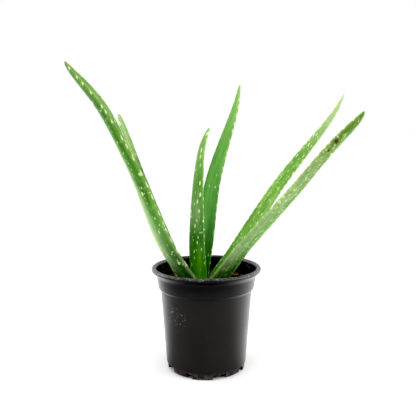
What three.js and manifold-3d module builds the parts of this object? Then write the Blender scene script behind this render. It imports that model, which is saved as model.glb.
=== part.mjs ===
import * as THREE from 'three';
import { mergeVertices } from 'three/addons/utils/BufferGeometryUtils.js';
import Module from 'manifold-3d';

// A young aloe in a black nursery pot.
// Millimetres, +Z up. The origin is on the pot's axis, on the surface that it stands on, and -Y is the front.

const wasm = await Module();
wasm.setup();

// Clearance between pieces that touch, and how near counts as on.
const gap = 0.3;
const nearby = 0.01;

const pot = {
  sides: 60,
  height: 108,
  rimRadius: 57,
  rollRadius: 2.4,
  rollSteps: 8,
  collarTopRadius: 51.3,
  collarTopHeight: 96.5,
  collarFootRadius: 49.8,
  collarFootHeight: 86.6,
  bodyTopRadius: 47.5,
  bodyTopHeight: 84.4,
  bodyFootRadius: 41.8,
  bodyFootHeight: 7,
  ringTopRadius: 39.3,
  ringTopHeight: 5.9,
  footRadius: 38.6,
  tabReach: 1.6,
  wall: 1.3,
  wallRise: 0.4,
  stepRise: 1.4,
  floor: 1.6,
};

// Notches through the pot's foot, wide and narrow in turn. Every second stretch between them is a tab that
// stands out further than the rest of the foot.
const drain = {
  count: 8,
  firstAngle: -70,
  wideWidth: 14.5,
  narrowWidth: 6.6,
  height: 4.6,
  innerRadius: 33.5,
  outerRadius: 45,
};

// Where the plant grows out of the soil.
const crown = {
  x: -5,
  y: 0,
  top: 86.2,
  edgeHeight: 84.6,
  radius: 16.5,
  shoulderHeight: 79,
  neckRadius: 8.5,
  neckHeight: 70,
  rootRadius: 5.5,
  rootFoot: 50,
  sides: 28,
};

const soil = {
  sides: 56,
  surface: 92,
  dishRadius: 34,
  dishFloor: 84.3,
  lump: 0.8,
  ringRadii: [44.5, 40, 36, 32, 28.5, 25.5, 22.5],
};

const bark = {
  x: 31,
  y: 18,
  length: 9,
  width: 4.6,
  thick: 1.2,
  curl: 1.3,
  turn: 25,
  seatRadius: 9,
};

// What all leaves share. channel is how deep the inner face is hollowed, as a share of the leaf's thickness.
// A leaf leaves the crown upright and takes its own course within bendLength.
const blade = {
  sides: 10,
  innerSides: 4,
  channel: 0.16,
  roundness: 0.9,
  neckShare: 0.3,
  bendLength: 13,
  footRows: [0, 3.5, 7],
  tipRow: 2.4,
};

// The foot of a leaf clasps the crown: there its section is wider and bent round the axis.
const clasp = {
  length: 17,
  flare: 0.12,
  bend: 0.34,
};

const tooth = {
  pitch: 9,
  root: 1.6,
  height: 1.3,
  lean: 0.8,
  jitter: 1.3,
  firstAlong: 12,
  lastShort: 6,
};

// Each leaf's path runs from the crown to its tip. face is the way its channelled inner face looks, at the
// foot and at the tip. width and thick are its largest, taper is how late it narrows, neck is how much it
// narrows at the foot, and blunt is how round its tip is.
const leaves = [
  {
    name: 'leaf_left_long',
    path: [
      [-11.3, -7.6, 86.5], [-16.5, -11, 97], [-38.5, -14, 133],
      [-70.3, -19, 215.5], [-100, -13, 273.5], [-141, 0, 317],
    ],
    face: [[0.47, 0.85, 0.24], [0.57, -0.42, 0.71]],
    width: 16.4,
    thick: 9.2,
    taper: 5,
    neck: 0.2,
    blunt: 0.23,
    colour: 0x5d9a47,
  },
  {
    name: 'leaf_left_rear',
    path: [
      [-15.5, 4.6, 86.5], [-24, 7.5, 96], [-33, 11, 111],
      [-66.5, 20, 191], [-92.3, 28, 266.8],
    ],
    face: [[0.6, -0.78, 0.18], [0.89, -0.35, 0.33]],
    width: 17,
    thick: 5.2,
    taper: 2.5,
    neck: 0.1,
    blunt: 0.4,
    colour: 0x7fae4e,
  },
  {
    name: 'leaf_centre_short',
    path: [
      [-6.5, -1.9, 86.5], [-7.6, -6, 100], [-9.5, -11, 133],
      [-7.7, -15, 196], [-3.3, -18, 232.5], [3.4, -20, 251],
    ],
    face: [[0.05, 1, 0.07], [0.6, 0.78, -0.15]],
    width: 18,
    thick: 6,
    taper: 1.5,
    neck: 0.13,
    blunt: 0.32,
    colour: 0x3f8a2c,
  },
  {
    name: 'leaf_centre_tall',
    path: [
      [-5, 1.9, 86.5], [-4.5, 5, 100], [-0.7, 9, 141],
      [7, 16, 195.5], [30.7, 23, 274], [35, 28, 295.5],
    ],
    face: [[0.25, -0.96, 0.05], [-0.6, -0.7, 0.3]],
    width: 19.3,
    thick: 5.9,
    taper: 2.3,
    neck: 0.37,
    blunt: 0.26,
    colour: 0x2f8f2a,
  },
  {
    name: 'leaf_right_rear',
    path: [
      [7.4, 3.6, 86.5], [11, 8, 97], [30, 13, 115.5],
      [78.5, 26, 192.5], [134.5, 37, 263.5], [149.5, 48, 287],
    ],
    face: [[-0.5, -0.85, 0.2], [-0.3, -0.75, 0.58]],
    width: 16.5,
    thick: 5.2,
    taper: 1.75,
    neck: 0.1,
    blunt: 0.02,
    colour: 0x6cb444,
  },
  {
    name: 'leaf_right_front',
    path: [
      [3.6, -6.2, 86.5], [11, -10, 96.5], [34.5, -14, 128.5],
      [82, -28, 187.5], [120, -40, 237], [147, -48, 266.8],
    ],
    face: [[-0.56, 0.8, 0.2], [-0.63, 0.36, 0.69]],
    width: 20,
    thick: 7.6,
    taper: 1.6,
    neck: 0.02,
    blunt: 0.6,
    colour: 0x6f9c52,
  },
];

// Seeded random numbers from 0 to 1, the same on every run.
function seeded(seed) {
  let state = seed;
  return () => {
    state = (state * 1664525 + 1013904223) % 4294967296;
    return state / 4294967296;
  };
}

// The geometry with one vertex for each place, so that it is one closed surface.
function welded(geometry) {
  geometry.deleteAttribute('normal');
  geometry.deleteAttribute('uv');
  return mergeVertices(geometry, 1e-4);
}

function lathe(points, sides) {
  const outline = points.map(([radius, height]) => new THREE.Vector2(radius, height));
  return welded(new THREE.LatheGeometry(outline, sides)).rotateX(Math.PI / 2);
}

function toSolid(geometry) {
  const vertProperties = new Float32Array(geometry.attributes.position.array);
  const triVerts = new Uint32Array(geometry.index.array);
  return new wasm.Manifold(new wasm.Mesh({ numProp: 3, vertProperties, triVerts }));
}

function toGeometry(solid) {
  const { vertProperties, triVerts } = solid.getMesh();
  const geometry = new THREE.BufferGeometry();
  geometry.setAttribute('position', new THREE.BufferAttribute(vertProperties, 3));
  geometry.setIndex(new THREE.BufferAttribute(triVerts, 1));
  return geometry;
}

function part(name, geometry, color, roughness) {
  const mesh = new THREE.Mesh(geometry, new THREE.MeshStandardMaterial({ color, roughness, metalness: 0 }));
  geometry.computeVertexNormals();
  mesh.name = name;
  return mesh;
}

// The rolled rim, from its underside round the outside and over to the inner wall.
function rimRoll() {
  const [from, to] = [-70, 180];
  const centreRadius = pot.rimRadius - pot.rollRadius;
  const centreHeight = pot.height - pot.rollRadius;
  const points = [];
  for (let step = 0; step <= pot.rollSteps; step += 1) {
    const angle = THREE.MathUtils.degToRad(from + (to - from) * step / pot.rollSteps);
    const [outward, upward] = [pot.rollRadius * Math.cos(angle), pot.rollRadius * Math.sin(angle)];
    points.push([centreRadius + outward, centreHeight + upward]);
  }
  return points;
}

// Whether a point of the pot's foot is on a tab, which lies between a narrow notch and the next wide one.
function isOnTab(x, y) {
  const direction = THREE.MathUtils.radToDeg(Math.atan2(y, x)) + 90 - drain.firstAngle;
  const stretch = Math.floor(direction / (360 / drain.count));
  return Math.abs(stretch % 2) === 1;
}

function potShell() {
  const flare = (pot.rimRadius - pot.collarTopRadius) / 4;
  const shell = lathe([
    [0, 0],
    [pot.footRadius, 0],
    [pot.ringTopRadius, pot.ringTopHeight],
    [pot.bodyFootRadius, pot.bodyFootHeight],
    [pot.bodyTopRadius, pot.bodyTopHeight],
    [pot.collarFootRadius, pot.collarFootHeight],
    [pot.collarTopRadius, pot.collarTopHeight],
    [pot.collarTopRadius + flare / 2, pot.collarTopHeight + flare * 2],
    [pot.collarTopRadius + flare * 1.6, pot.collarTopHeight + flare * 3.6],
    ...rimRoll(),
    [pot.collarTopRadius - pot.wall, pot.collarTopHeight],
    [pot.collarFootRadius - pot.wall, pot.collarFootHeight + pot.wallRise],
    [pot.bodyTopRadius - pot.wall, pot.bodyTopHeight + pot.wallRise],
    [pot.bodyFootRadius - pot.wall, pot.bodyFootHeight + pot.stepRise],
    [pot.ringTopRadius - pot.wall, pot.ringTopHeight + pot.stepRise],
    [pot.footRadius - pot.wall, pot.floor],
    [0, pot.floor],
  ], pot.sides);
  const position = shell.attributes.position;
  for (let i = 0; i < position.count; i += 1) {
    const [x, y] = [position.getX(i), position.getY(i)];
    const radius = Math.hypot(x, y);
    const isFoot = position.getZ(i) < pot.ringTopHeight + nearby && radius > pot.footRadius - nearby;
    if (isFoot && isOnTab(x, y)) {
      position.setX(i, x * (1 + pot.tabReach / radius));
      position.setY(i, y * (1 + pot.tabReach / radius));
    }
  }
  return shell;
}

function potGeometry() {
  let shell = toSolid(potShell());
  for (let i = 0; i < drain.count; i += 1) {
    const width = i % 2 === 0 ? drain.wideWidth : drain.narrowWidth;
    const angle = THREE.MathUtils.degToRad(drain.firstAngle + 360 * i / drain.count);
    const notch = new THREE.BoxGeometry(width, drain.outerRadius - drain.innerRadius, drain.height * 2);
    notch.translate(0, -(drain.innerRadius + drain.outerRadius) / 2, 0).rotateZ(angle);
    shell = shell.subtract(toSolid(welded(notch)));
  }
  return toGeometry(shell);
}

// The soil's inner radius for a height on the pot's inner wall.
function soilEdge(height) {
  const lower = [pot.collarFootHeight, pot.collarFootRadius];
  const upper = [pot.collarTopHeight, pot.collarTopRadius];
  const along = (height - lower[0]) / (upper[0] - lower[0]);
  return lower[1] + along * (upper[1] - lower[1]) - pot.wall - 2 * gap;
}

// The soil's height above a point that lies a given distance from the crown's axis.
function dishHeight(distance) {
  const rise = THREE.MathUtils.smoothstep(distance, crown.radius + 1, soil.dishRadius);
  return soil.dishFloor + rise * (soil.surface - soil.dishFloor);
}

// The soil's section, from the pot's floor up its wall, over the dished surface and down the stem's hole.
function soilOutline(edge, holeRadius) {
  const side = pot.wall + 2 * gap;
  const rise = 2 * pot.wallRise;
  return [
    [0, pot.floor + gap],
    [pot.footRadius - side, pot.floor + gap],
    [pot.ringTopRadius - side, pot.ringTopHeight + pot.stepRise + pot.wallRise],
    [pot.bodyFootRadius - side, pot.bodyFootHeight + pot.stepRise + pot.wallRise],
    [pot.bodyTopRadius - side, pot.bodyTopHeight + rise],
    [pot.collarFootRadius - side, pot.collarFootHeight + rise],
    ...[edge, ...soil.ringRadii, holeRadius].map((radius) => [radius, dishHeight(radius)]),
    [holeRadius, crown.shoulderHeight - gap],
    [crown.neckRadius + gap, crown.neckHeight - gap],
    [crown.rootRadius + gap, crown.rootFoot - gap],
    [0, crown.rootFoot - gap],
  ];
}

// The outline is turned round the pot's axis, then its dish and hole are moved to the crown, and its top is
// made lumpy.
function soilGeometry() {
  const random = seeded(11);
  const holeRadius = crown.radius + 2 * gap;
  const edge = soilEdge(soil.surface);
  const geometry = lathe(soilOutline(edge, holeRadius), soil.sides);
  const position = geometry.attributes.position;
  const point = new THREE.Vector3();
  for (let i = 0; i < position.count; i += 1) {
    point.fromBufferAttribute(position, i);
    const radius = Math.hypot(point.x, point.y);
    const lump = soil.lump * (2 * random() - 1);
    const isHole = radius < holeRadius + nearby && point.z > crown.rootFoot - 1;
    const isTop = !isHole && radius < edge + nearby && point.z > dishHeight(radius) - nearby;
    const shift = isHole ? 1 : THREE.MathUtils.clamp((edge - radius) / (edge - holeRadius), 0, 1);
    if (isHole || isTop) {
      point.x += crown.x * shift;
      point.y += crown.y * shift;
    }
    if (isTop) {
      const onSeat = Math.hypot(point.x - bark.x, point.y - bark.y) < bark.seatRadius;
      point.z = onSeat ? soil.surface : point.z + lump;
    }
    position.setXYZ(i, point.x, point.y, point.z);
  }
  return geometry;
}

// The crown with its rootstock, in the soil's hole. Its flat top carries the leaves.
function stemGeometry() {
  return lathe([
    [0, crown.rootFoot],
    [crown.rootRadius, crown.rootFoot],
    [crown.neckRadius, crown.neckHeight],
    [crown.radius - gap, crown.shoulderHeight],
    [crown.radius, (crown.shoulderHeight + crown.edgeHeight) / 2],
    [crown.radius, crown.edgeHeight],
    [crown.radius - 1.6, crown.top],
    [0, crown.top],
  ], crown.sides).translate(crown.x, crown.y, 0);
}

// A thin flake of bark, curled along its length.
function barkGeometry() {
  const flake = welded(new THREE.BoxGeometry(bark.length, bark.width, bark.thick, 5, 3, 1));
  const position = flake.attributes.position;
  const random = seeded(5);
  for (let i = 0; i < position.count; i += 1) {
    const along = position.getX(i) / bark.length * 2;
    const across = position.getY(i) / bark.width * 2;
    const worn = 1 - 0.35 * along * along - 0.12 * random();
    const lift = bark.curl * across * across + 0.6 * bark.curl * along * along * random();
    position.setY(i, position.getY(i) * worn);
    position.setZ(i, position.getZ(i) + lift);
  }
  flake.rotateZ(THREE.MathUtils.degToRad(bark.turn));
  return flake.translate(bark.x, bark.y, soil.surface + gap + bark.thick / 2);
}

// Half the leaf's width at a fraction of its length, without teeth.
function halfWidth(leaf, along) {
  const body = (1 - leaf.blunt) * (1 - along ** leaf.taper);
  const tip = leaf.blunt * Math.sqrt(1 - along ** 6);
  const neck = leaf.neck * Math.max(0, 1 - along / blade.neckShare) ** 2;
  return leaf.width / 2 * (body + tip) * (1 - neck);
}

// Rows of the leaf from its foot to just short of its tip, three for each pair of teeth: at the near root,
// the points and the far root. slides is how far each margin's tooth sits from the row.
function leafRows(length, random) {
  const row = (distance, isTooth = false, slides = [0, 0]) => ({ along: distance / length, isTooth, slides });
  const rows = blade.footRows.map((distance) => row(distance));
  const last = length - tooth.lastShort;
  const count = Math.round((last - tooth.firstAlong) / tooth.pitch);
  for (let i = 0; i <= count; i += 1) {
    const middle = tooth.firstAlong + (last - tooth.firstAlong) * i / count;
    const slides = [tooth.jitter * (2 * random() - 1), tooth.jitter * (2 * random() - 1)];
    rows.push(row(middle - tooth.root, false, slides));
    rows.push(row(middle, true, slides));
    rows.push(row(middle + tooth.root, false, slides));
  }
  rows.push(row(length - blade.tipRow));
  return rows;
}

// Where a side's vertex lies in the leaf's section: from -1 to 1 across it, and how deep below its margins.
function sectionPoint(side, hollow, thick) {
  if (side <= blade.innerSides) {
    const across = 1 - 2 * side / blade.innerSides;
    return { across, deep: hollow * (1 - across * across), margin: Math.round(across) };
  }
  const angle = Math.PI * (side - blade.innerSides) / (blade.sides - blade.innerSides);
  return { across: -Math.cos(angle), deep: thick * Math.sin(angle) ** blade.roundness, margin: 0 };
}

// The leaf's own directions at a point of its path: ahead to the tip, inward out of its inner face, and
// across.
function leafAxes(leaf, path, along, distance) {
  const rise = THREE.MathUtils.smoothstep(distance, 0, blade.bendLength);
  const ahead = new THREE.Vector3(0, 0, 1).lerp(path.getTangentAt(along), rise).normalize();
  const inward = new THREE.Vector3(...leaf.face[0]).lerp(new THREE.Vector3(...leaf.face[1]), along);
  inward.addScaledVector(ahead, -inward.dot(ahead)).normalize();
  return { ahead, inward, across: inward.clone().cross(ahead) };
}

// The place of one vertex of a leaf. side is null at the middle of the foot.
function leafPoint(leaf, path, row, side) {
  const distance = row.along * path.getLength();
  const { ahead, inward, across } = leafAxes(leaf, path, row.along, distance);
  const point = path.getPointAt(row.along);
  if (side === null) {
    return point.addScaledVector(inward, -leaf.thick / 2);
  }
  const clasping = 1 - THREE.MathUtils.smoothstep(distance, 0, clasp.length);
  const half = halfWidth(leaf, row.along) * (1 + clasp.flare * clasping);
  const fullness = Math.sqrt(Math.min(1, 2 * half / leaf.width));
  const thick = leaf.thick * fullness;
  const section = sectionPoint(side, blade.channel * thick, thick);
  const bend = clasping * clasp.bend * half * (1 - section.across ** 2);
  point.addScaledVector(across, section.across * half).addScaledVector(inward, -section.deep - bend);
  if (section.margin !== 0) {
    const raise = row.isTooth ? tooth.height * (0.35 + 0.65 * fullness) : 0;
    const lean = row.isTooth ? tooth.lean : 0;
    point.addScaledVector(across, section.margin * raise);
    point.addScaledVector(ahead, lean + row.slides[section.margin > 0 ? 0 : 1]);
  }
  return point;
}

// A leaf swept along its path from a closed cone, with the teeth of both margins raised out of it.
function leafGeometry(leaf, seed) {
  const points = leaf.path.map((point) => new THREE.Vector3(...point));
  const path = new THREE.CatmullRomCurve3(points, false, 'centripetal');
  const rows = leafRows(path.getLength(), seeded(seed));
  const geometry = welded(new THREE.CylinderGeometry(0, 1, rows.length, blade.sides, rows.length));
  const position = geometry.attributes.position;
  for (let i = 0; i < position.count; i += 1) {
    const row = rows[Math.round(position.getY(i) + rows.length / 2)];
    const isAxis = Math.hypot(position.getX(i), position.getZ(i)) < 1e-6;
    const turn = Math.atan2(position.getX(i), position.getZ(i)) / (2 * Math.PI);
    const side = Math.round((turn + 1) * blade.sides) % blade.sides;
    const point = row ? leafPoint(leaf, path, row, isAxis ? null : side) : path.getPointAt(1);
    position.setXYZ(i, point.x, point.y, point.z);
  }
  return geometry;
}

const plant = new THREE.Group();
plant.add(part('pot', potGeometry(), 0x0c0c0d, 0.42));
plant.add(part('soil', soilGeometry(), 0x15110e, 0.95));
plant.add(part('stem', stemGeometry(), 0x6d5c3e, 0.85));
plant.add(part('bark_chip', barkGeometry(), 0x7a3d20, 0.8));
leaves.forEach((leaf, i) => plant.add(part(leaf.name, leafGeometry(leaf, 31 + i), leaf.colour, 0.4)));

export default plant;
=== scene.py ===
import math

import bpy
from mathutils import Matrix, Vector, noise


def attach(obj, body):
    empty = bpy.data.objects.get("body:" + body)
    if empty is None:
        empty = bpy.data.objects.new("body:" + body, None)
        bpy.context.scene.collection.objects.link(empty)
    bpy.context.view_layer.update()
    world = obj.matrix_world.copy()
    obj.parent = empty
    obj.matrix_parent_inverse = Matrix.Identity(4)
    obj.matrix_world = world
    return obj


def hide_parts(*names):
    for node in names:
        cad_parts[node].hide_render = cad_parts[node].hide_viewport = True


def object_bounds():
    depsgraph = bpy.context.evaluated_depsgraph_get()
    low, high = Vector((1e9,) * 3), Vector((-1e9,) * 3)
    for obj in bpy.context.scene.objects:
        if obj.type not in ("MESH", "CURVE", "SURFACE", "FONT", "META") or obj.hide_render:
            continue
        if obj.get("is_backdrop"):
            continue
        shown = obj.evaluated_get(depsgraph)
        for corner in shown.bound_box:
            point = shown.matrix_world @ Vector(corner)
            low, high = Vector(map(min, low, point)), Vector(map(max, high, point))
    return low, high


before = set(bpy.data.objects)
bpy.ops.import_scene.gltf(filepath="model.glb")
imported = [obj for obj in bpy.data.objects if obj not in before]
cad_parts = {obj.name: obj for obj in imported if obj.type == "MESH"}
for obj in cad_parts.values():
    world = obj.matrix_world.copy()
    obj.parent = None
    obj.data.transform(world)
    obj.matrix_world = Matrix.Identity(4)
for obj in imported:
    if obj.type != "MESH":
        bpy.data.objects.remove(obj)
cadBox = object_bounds()
mm = 0.001
print("frame loaded,", len(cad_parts), "nodes")


# Tools for node trees.

class Flow:  # a number or vector on its way through a node tree, so that formulas can be written plainly
    def __init__(self, tree, socket):
        self.tree = tree
        self.socket = socket

    def __add__(self, other):
        return calc("ADD", self, other)

    def __sub__(self, other):
        return calc("SUBTRACT", self, other)

    def __rsub__(self, other):
        return calc("SUBTRACT", other, self)

    def __mul__(self, other):
        return calc("MULTIPLY", self, other)

    def __truediv__(self, other):
        return calc("DIVIDE", self, other)

    def __pow__(self, other):
        return calc("POWER", self, other)

    def __abs__(self):
        return calc("ABSOLUTE", self)

    __radd__ = __add__
    __rmul__ = __mul__


def treeOf(values):  # the tree of the first flow among the values
    return next(value.tree for value in values if isinstance(value, Flow))


def feed(socket, value):  # links a flow or a socket, and sets anything else
    value = value.socket if isinstance(value, Flow) else value
    if isinstance(value, bpy.types.NodeSocket):
        socket.id_data.links.new(value, socket)
    else:
        socket.default_value = value


def fill(node, values):
    for key, value in values.items():
        feed(node.inputs[key], value)


def addNode(tree, kind, inputs, **settings):
    node = tree.nodes.new(kind)
    for name, value in settings.items():
        setattr(node, name, value)
    fill(node, inputs)
    return node


def flowOf(tree, kind, inputs, output=0, **settings):
    return Flow(tree, addNode(tree, kind, inputs, **settings).outputs[output])


def shapeOf(tree, kind, inputs={}, output=0, **settings):
    return flowOf(tree, "GeometryNode" + kind, inputs, output, **settings)


def calc(operation, *values):
    return flowOf(treeOf(values), "ShaderNodeMath", dict(enumerate(values)), operation=operation)


def vectorCalc(operation, *values):
    output = 1 if operation in ("DOT_PRODUCT", "LENGTH") else 0
    return flowOf(treeOf(values), "ShaderNodeVectorMath", dict(enumerate(values)), output,
                  operation=operation)


def scaled(vector, factor):
    inputs = {0: vector, "Scale": factor}
    return flowOf(treeOf([vector, factor]), "ShaderNodeVectorMath", inputs, operation="SCALE")


def combined(*values):
    return flowOf(treeOf(values), "ShaderNodeCombineXYZ", dict(enumerate(values)))


def separated(vector):
    node = addNode(vector.tree, "ShaderNodeSeparateXYZ", {0: vector})
    return [Flow(vector.tree, output) for output in node.outputs]


def smooth(value, low, high):  # rises from 0 to 1 between low and high
    inputs = {"Value": value, "From Min": low, "From Max": high}
    return flowOf(value.tree, "ShaderNodeMapRange", inputs, interpolation_type="SMOOTHSTEP")


def mixVector(factor, first, second):
    return flowOf(factor.tree, "ShaderNodeMix", {0: factor, 4: first, 5: second}, 1, data_type="VECTOR")


def mixColour(factor, first, second, blend="MIX"):
    inputs = {0: factor, 6: first, 7: second}
    return flowOf(factor.tree, "ShaderNodeMix", inputs, 2, data_type="RGBA", blend_type=blend)


def tinted(factor, colour, tint):
    return mixColour(factor, colour, tint, "MULTIPLY")


def noiseOf(vector, scale, detail=3.0, roughness=0.55):
    inputs = {"Vector": vector, "Scale": scale, "Detail": detail, "Roughness": roughness}
    return flowOf(vector.tree, "ShaderNodeTexNoise", inputs)


def objectPlace(tree):
    return flowOf(tree, "ShaderNodeTexCoord", {}, "Object")


def attribute(tree, name, output="Vector"):
    return flowOf(tree, "ShaderNodeAttribute", {}, output, attribute_name=name)


def storeNamed(geometry, name, value, sort="FLOAT_VECTOR"):
    inputs = {"Geometry": geometry, "Name": name, "Value": value}
    return shapeOf(geometry.tree, "StoreNamedAttribute", inputs, data_type=sort, domain="POINT")


def ramp(factor, colours):
    node = addNode(factor.tree, "ShaderNodeValToRGB", {0: factor})
    elements = node.color_ramp.elements
    while len(elements) < len(colours):
        elements.new(1.0)
    for i, (element, colour) in enumerate(zip(elements, colours)):
        element.position = i / (len(colours) - 1)
        element.color = (*colour, 1)
    return Flow(factor.tree, node.outputs[0])


def relief(height, distance):  # the normal of a surface with this height, for a shader
    return flowOf(height.tree, "ShaderNodeBump", {"Height": height, "Distance": distance * mm})


def newMaterial(name, roughness=0.5):
    material = bpy.data.materials.new(name)
    material.use_nodes = True
    tree = material.node_tree
    tree.nodes.clear()
    shader = addNode(tree, "ShaderNodeBsdfPrincipled", {"Roughness": roughness})
    tree.links.new(shader.outputs[0], addNode(tree, "ShaderNodeOutputMaterial", {}).inputs[0])
    return material, tree, shader


# A group's inputs and outputs are names under their kinds of socket.
def newGroup(name, kind, inputs, outputs):
    group = bpy.data.node_groups.new(name, kind)
    for direction, sockets in (("INPUT", inputs), ("OUTPUT", outputs)):
        for sort, labels in sockets.items():
            for label in labels.split(", "):
                group.interface.new_socket(label, in_out=direction, socket_type="NodeSocket" + sort)
    given = {socket.name: Flow(group, socket) for socket in group.nodes.new("NodeGroupInput").outputs}
    return group, given, group.nodes.new("NodeGroupOutput")


def placeGroup(group, values, kind="Shader"):
    tree = treeOf(values.values())
    node = addNode(tree, kind + "NodeGroup", values, node_tree=group)
    return {output.name: Flow(tree, output) for output in node.outputs}


# Tools for meshes.

def runTree(group, name, values, mesh=None):  # the tree's result as a plain mesh object
    host = addPiece(name + "Host", mesh or bpy.data.meshes.new(name))
    modifier = host.modifiers.new("shape", "NODES")
    modifier.node_group = group
    for item in group.interface.items_tree:
        if item.in_out == "INPUT" and item.name in values:
            modifier[item.identifier] = values[item.name]
    graph = bpy.context.evaluated_depsgraph_get()
    result = host.evaluated_get(graph)
    made = bpy.data.meshes.new_from_object(result, preserve_all_data_layers=True, depsgraph=graph)
    bpy.data.objects.remove(host)
    for slot in reversed(range(len(made.materials))):
        if made.materials[slot] is None:
            made.materials.pop(index=slot)
    return addPiece(name, made)


def addPiece(name, data):
    piece = bpy.data.objects.new(name, data)
    bpy.context.scene.collection.objects.link(piece)
    return piece


def meshOf(name, points, faces):
    mesh = bpy.data.meshes.new(name)
    mesh.from_pydata([Vector(point) * mm for point in points], [], faces)
    mesh.update()
    return mesh


def smoothShaded(mesh, sharpAngle):
    mesh.shade_smooth()
    mesh.set_sharp_from_angle(angle=math.radians(sharpAngle))


def smoothstep(value, low, high):
    share = min(1, max(0, (value - low) / (high - low)))
    return share * share * (3 - 2 * share)


# The outline turned round the Z axis. Its first and last points lie on the axis.
def revolved(name, outline, sides, place=None):
    points = [(0, 0, outline[0][1])]
    for radius, height in outline[1:-1]:
        for side in range(sides):
            angle = 2 * math.pi * side / sides
            point = (radius * math.cos(angle), radius * math.sin(angle), height)
            points.append(place(point, radius) if place else point)
    points.append((0, 0, outline[-1][1]))
    faces = []
    for side in range(sides):
        after = (side + 1) % sides
        faces.append((0, 1 + after, 1 + side))
        for ring in range(len(outline) - 3):
            low, high = 1 + ring * sides, 1 + (ring + 1) * sides
            faces.append((low + side, low + after, high + after, high + side))
        top = 1 + (len(outline) - 3) * sides
        faces.append((top + side, top + after, len(points) - 1))
    return meshOf(name, points, faces)


# Camera and studio.

view = {"place": (1.81, -624.4, 253.4), "tiltDown": 7.70, "lens": 52.93, "sensor": 36, "clip": 10}

cameraData = bpy.data.cameras.new("camera")
cameraData.lens = view["lens"]
cameraData.sensor_width = view["sensor"]
cameraData.clip_start = view["clip"] * mm
camera = addPiece("camera", cameraData)
camera.location = Vector(view["place"]) * mm
camera.rotation_euler = (math.radians(90 - view["tiltDown"]), 0, 0)
bpy.context.scene.camera = camera

finish = bpy.context.scene.view_settings  # the photograph's deep blacks
finish.view_transform = "Standard"
finish.use_curve_mapping = True
finish.curve_mapping.black_level = (0.012, 0.012, 0.012)
finish.curve_mapping.update()

studio = {  # lengths in metres
    "floorSize": 30.0,
    "floorColour": (0.96, 0.96, 0.96, 1),
    "floorReflected": (0.33, 0.33, 0.34, 1),
    "floorGlow": 1.1,
    "skyBright": 1.12,
    "skyFront": 0.15,
    "sideGlow": 1.3,
    "lamps": {  # place, the point it looks at, size, watts
        "lampLeft": ((-0.75, 0.1, 0.3), (0, 0, 0.1), (0.3, 0.6), 2.5),
        "lampRight": ((0.8, -0.15, 0.3), (0, 0, 0.1), (0.5, 0.6), 4.5),
        "lampTop": ((-0.1, -0.5, 1.3), (0, 0, 0.1), (0.8, 0.6), 4.0),
    },
}


# The floor is white to the camera. In reflections it is dim toward the front and glows behind.
def makeFloor():
    half = studio["floorSize"] / 2
    corners = [(-half, -half, 0), (half, -half, 0), (half, half, 0), (-half, half, 0)]
    mesh = bpy.data.meshes.new("floor")
    mesh.from_pydata(corners, [], [(0, 1, 2, 3)])
    floor = addPiece("floor", mesh)
    material, tree, shader = newMaterial("floorPaint", 0.9)
    isReflected = flowOf(tree, "ShaderNodeLightPath", {}, "Is Glossy Ray")
    x, y, _ = separated(vectorCalc("NORMALIZE", objectPlace(tree)))
    behind = smooth(y + x * 0.2, -0.45, 0.75)
    dim = isReflected * (1.0 - behind)
    fill(shader, {
        "Base Color": mixColour(dim, studio["floorColour"], studio["floorReflected"]),
        "Emission Color": (1, 1, 1, 1),
        "Emission Strength": isReflected * behind * studio["floorGlow"],
        "Specular IOR Level": 0.1,
    })
    mesh.materials.append(material)
    floor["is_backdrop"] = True


def makeLamps():
    for name, (place, target, size, watts) in studio["lamps"].items():
        data = bpy.data.lights.new(name, "AREA")
        data.shape = "RECTANGLE"
        data.size, data.size_y = size
        data.energy = watts
        lamp = addPiece(name, data)
        lamp.location = place
        lamp.rotation_euler = (Vector(target) - Vector(place)).to_track_quat("-Z", "Y").to_euler()


# The sky lights from behind and the sides and is dim toward the front, as in a white tent with an open front.
# Its sides shine brighter in reflections, as two tall white screens would.
def makeSky():
    world = bpy.data.worlds.new("sky")
    bpy.context.scene.world = world
    world.use_nodes = True
    tree = world.node_tree
    tree.nodes.clear()
    x, y, z = separated(flowOf(tree, "ShaderNodeTexCoord", {}, "Generated"))
    opening = smooth(y, -0.62, -0.9) * smooth(z, 0.75, 0.45)
    light = studio["skyBright"] + (studio["skyFront"] - studio["skyBright"]) * opening
    rays = addNode(tree, "ShaderNodeLightPath", {}).outputs
    side = smooth(abs(x), 0.35, 0.9) * smooth(y, -0.25, 0.35)
    light = light * (1.0 + side * studio["sideGlow"] * Flow(tree, rays["Is Glossy Ray"]))
    strength = light + Flow(tree, rays["Is Camera Ray"]) * (1.0 - light)
    background = addNode(tree, "ShaderNodeBackground", {"Color": (1, 1, 1, 1), "Strength": strength})
    tree.links.new(background.outputs[0], addNode(tree, "ShaderNodeOutputWorld", {}).inputs[0])


makeFloor()
makeLamps()
makeSky()
print("studio made")


# Shader node groups that several materials use.

def makeSpecksGroup():  # small dots of random size, denser where a slow noise is high
    group, given, result = newGroup(
        "specks", "ShaderNodeTree", {"Vector": "Vector", "Float": "Scale, Share, Size, Patch Scale"},
        {"Float": "Mask"})
    cells = addNode(group, "ShaderNodeTexVoronoi", {"Vector": given["Vector"], "Scale": given["Scale"]})
    chance, size, _ = separated(Flow(group, cells.outputs["Color"]))
    patch = smooth(noiseOf(given["Vector"], given["Patch Scale"]), 0.42, 0.68)
    present = calc("LESS_THAN", chance, given["Share"] * patch)
    radius = given["Size"] * (0.35 + 0.65 * size)
    dot = smooth(Flow(group, cells.outputs["Distance"]), radius, radius * 0.4)
    fill(result, {"Mask": dot * present})
    return group


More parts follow.
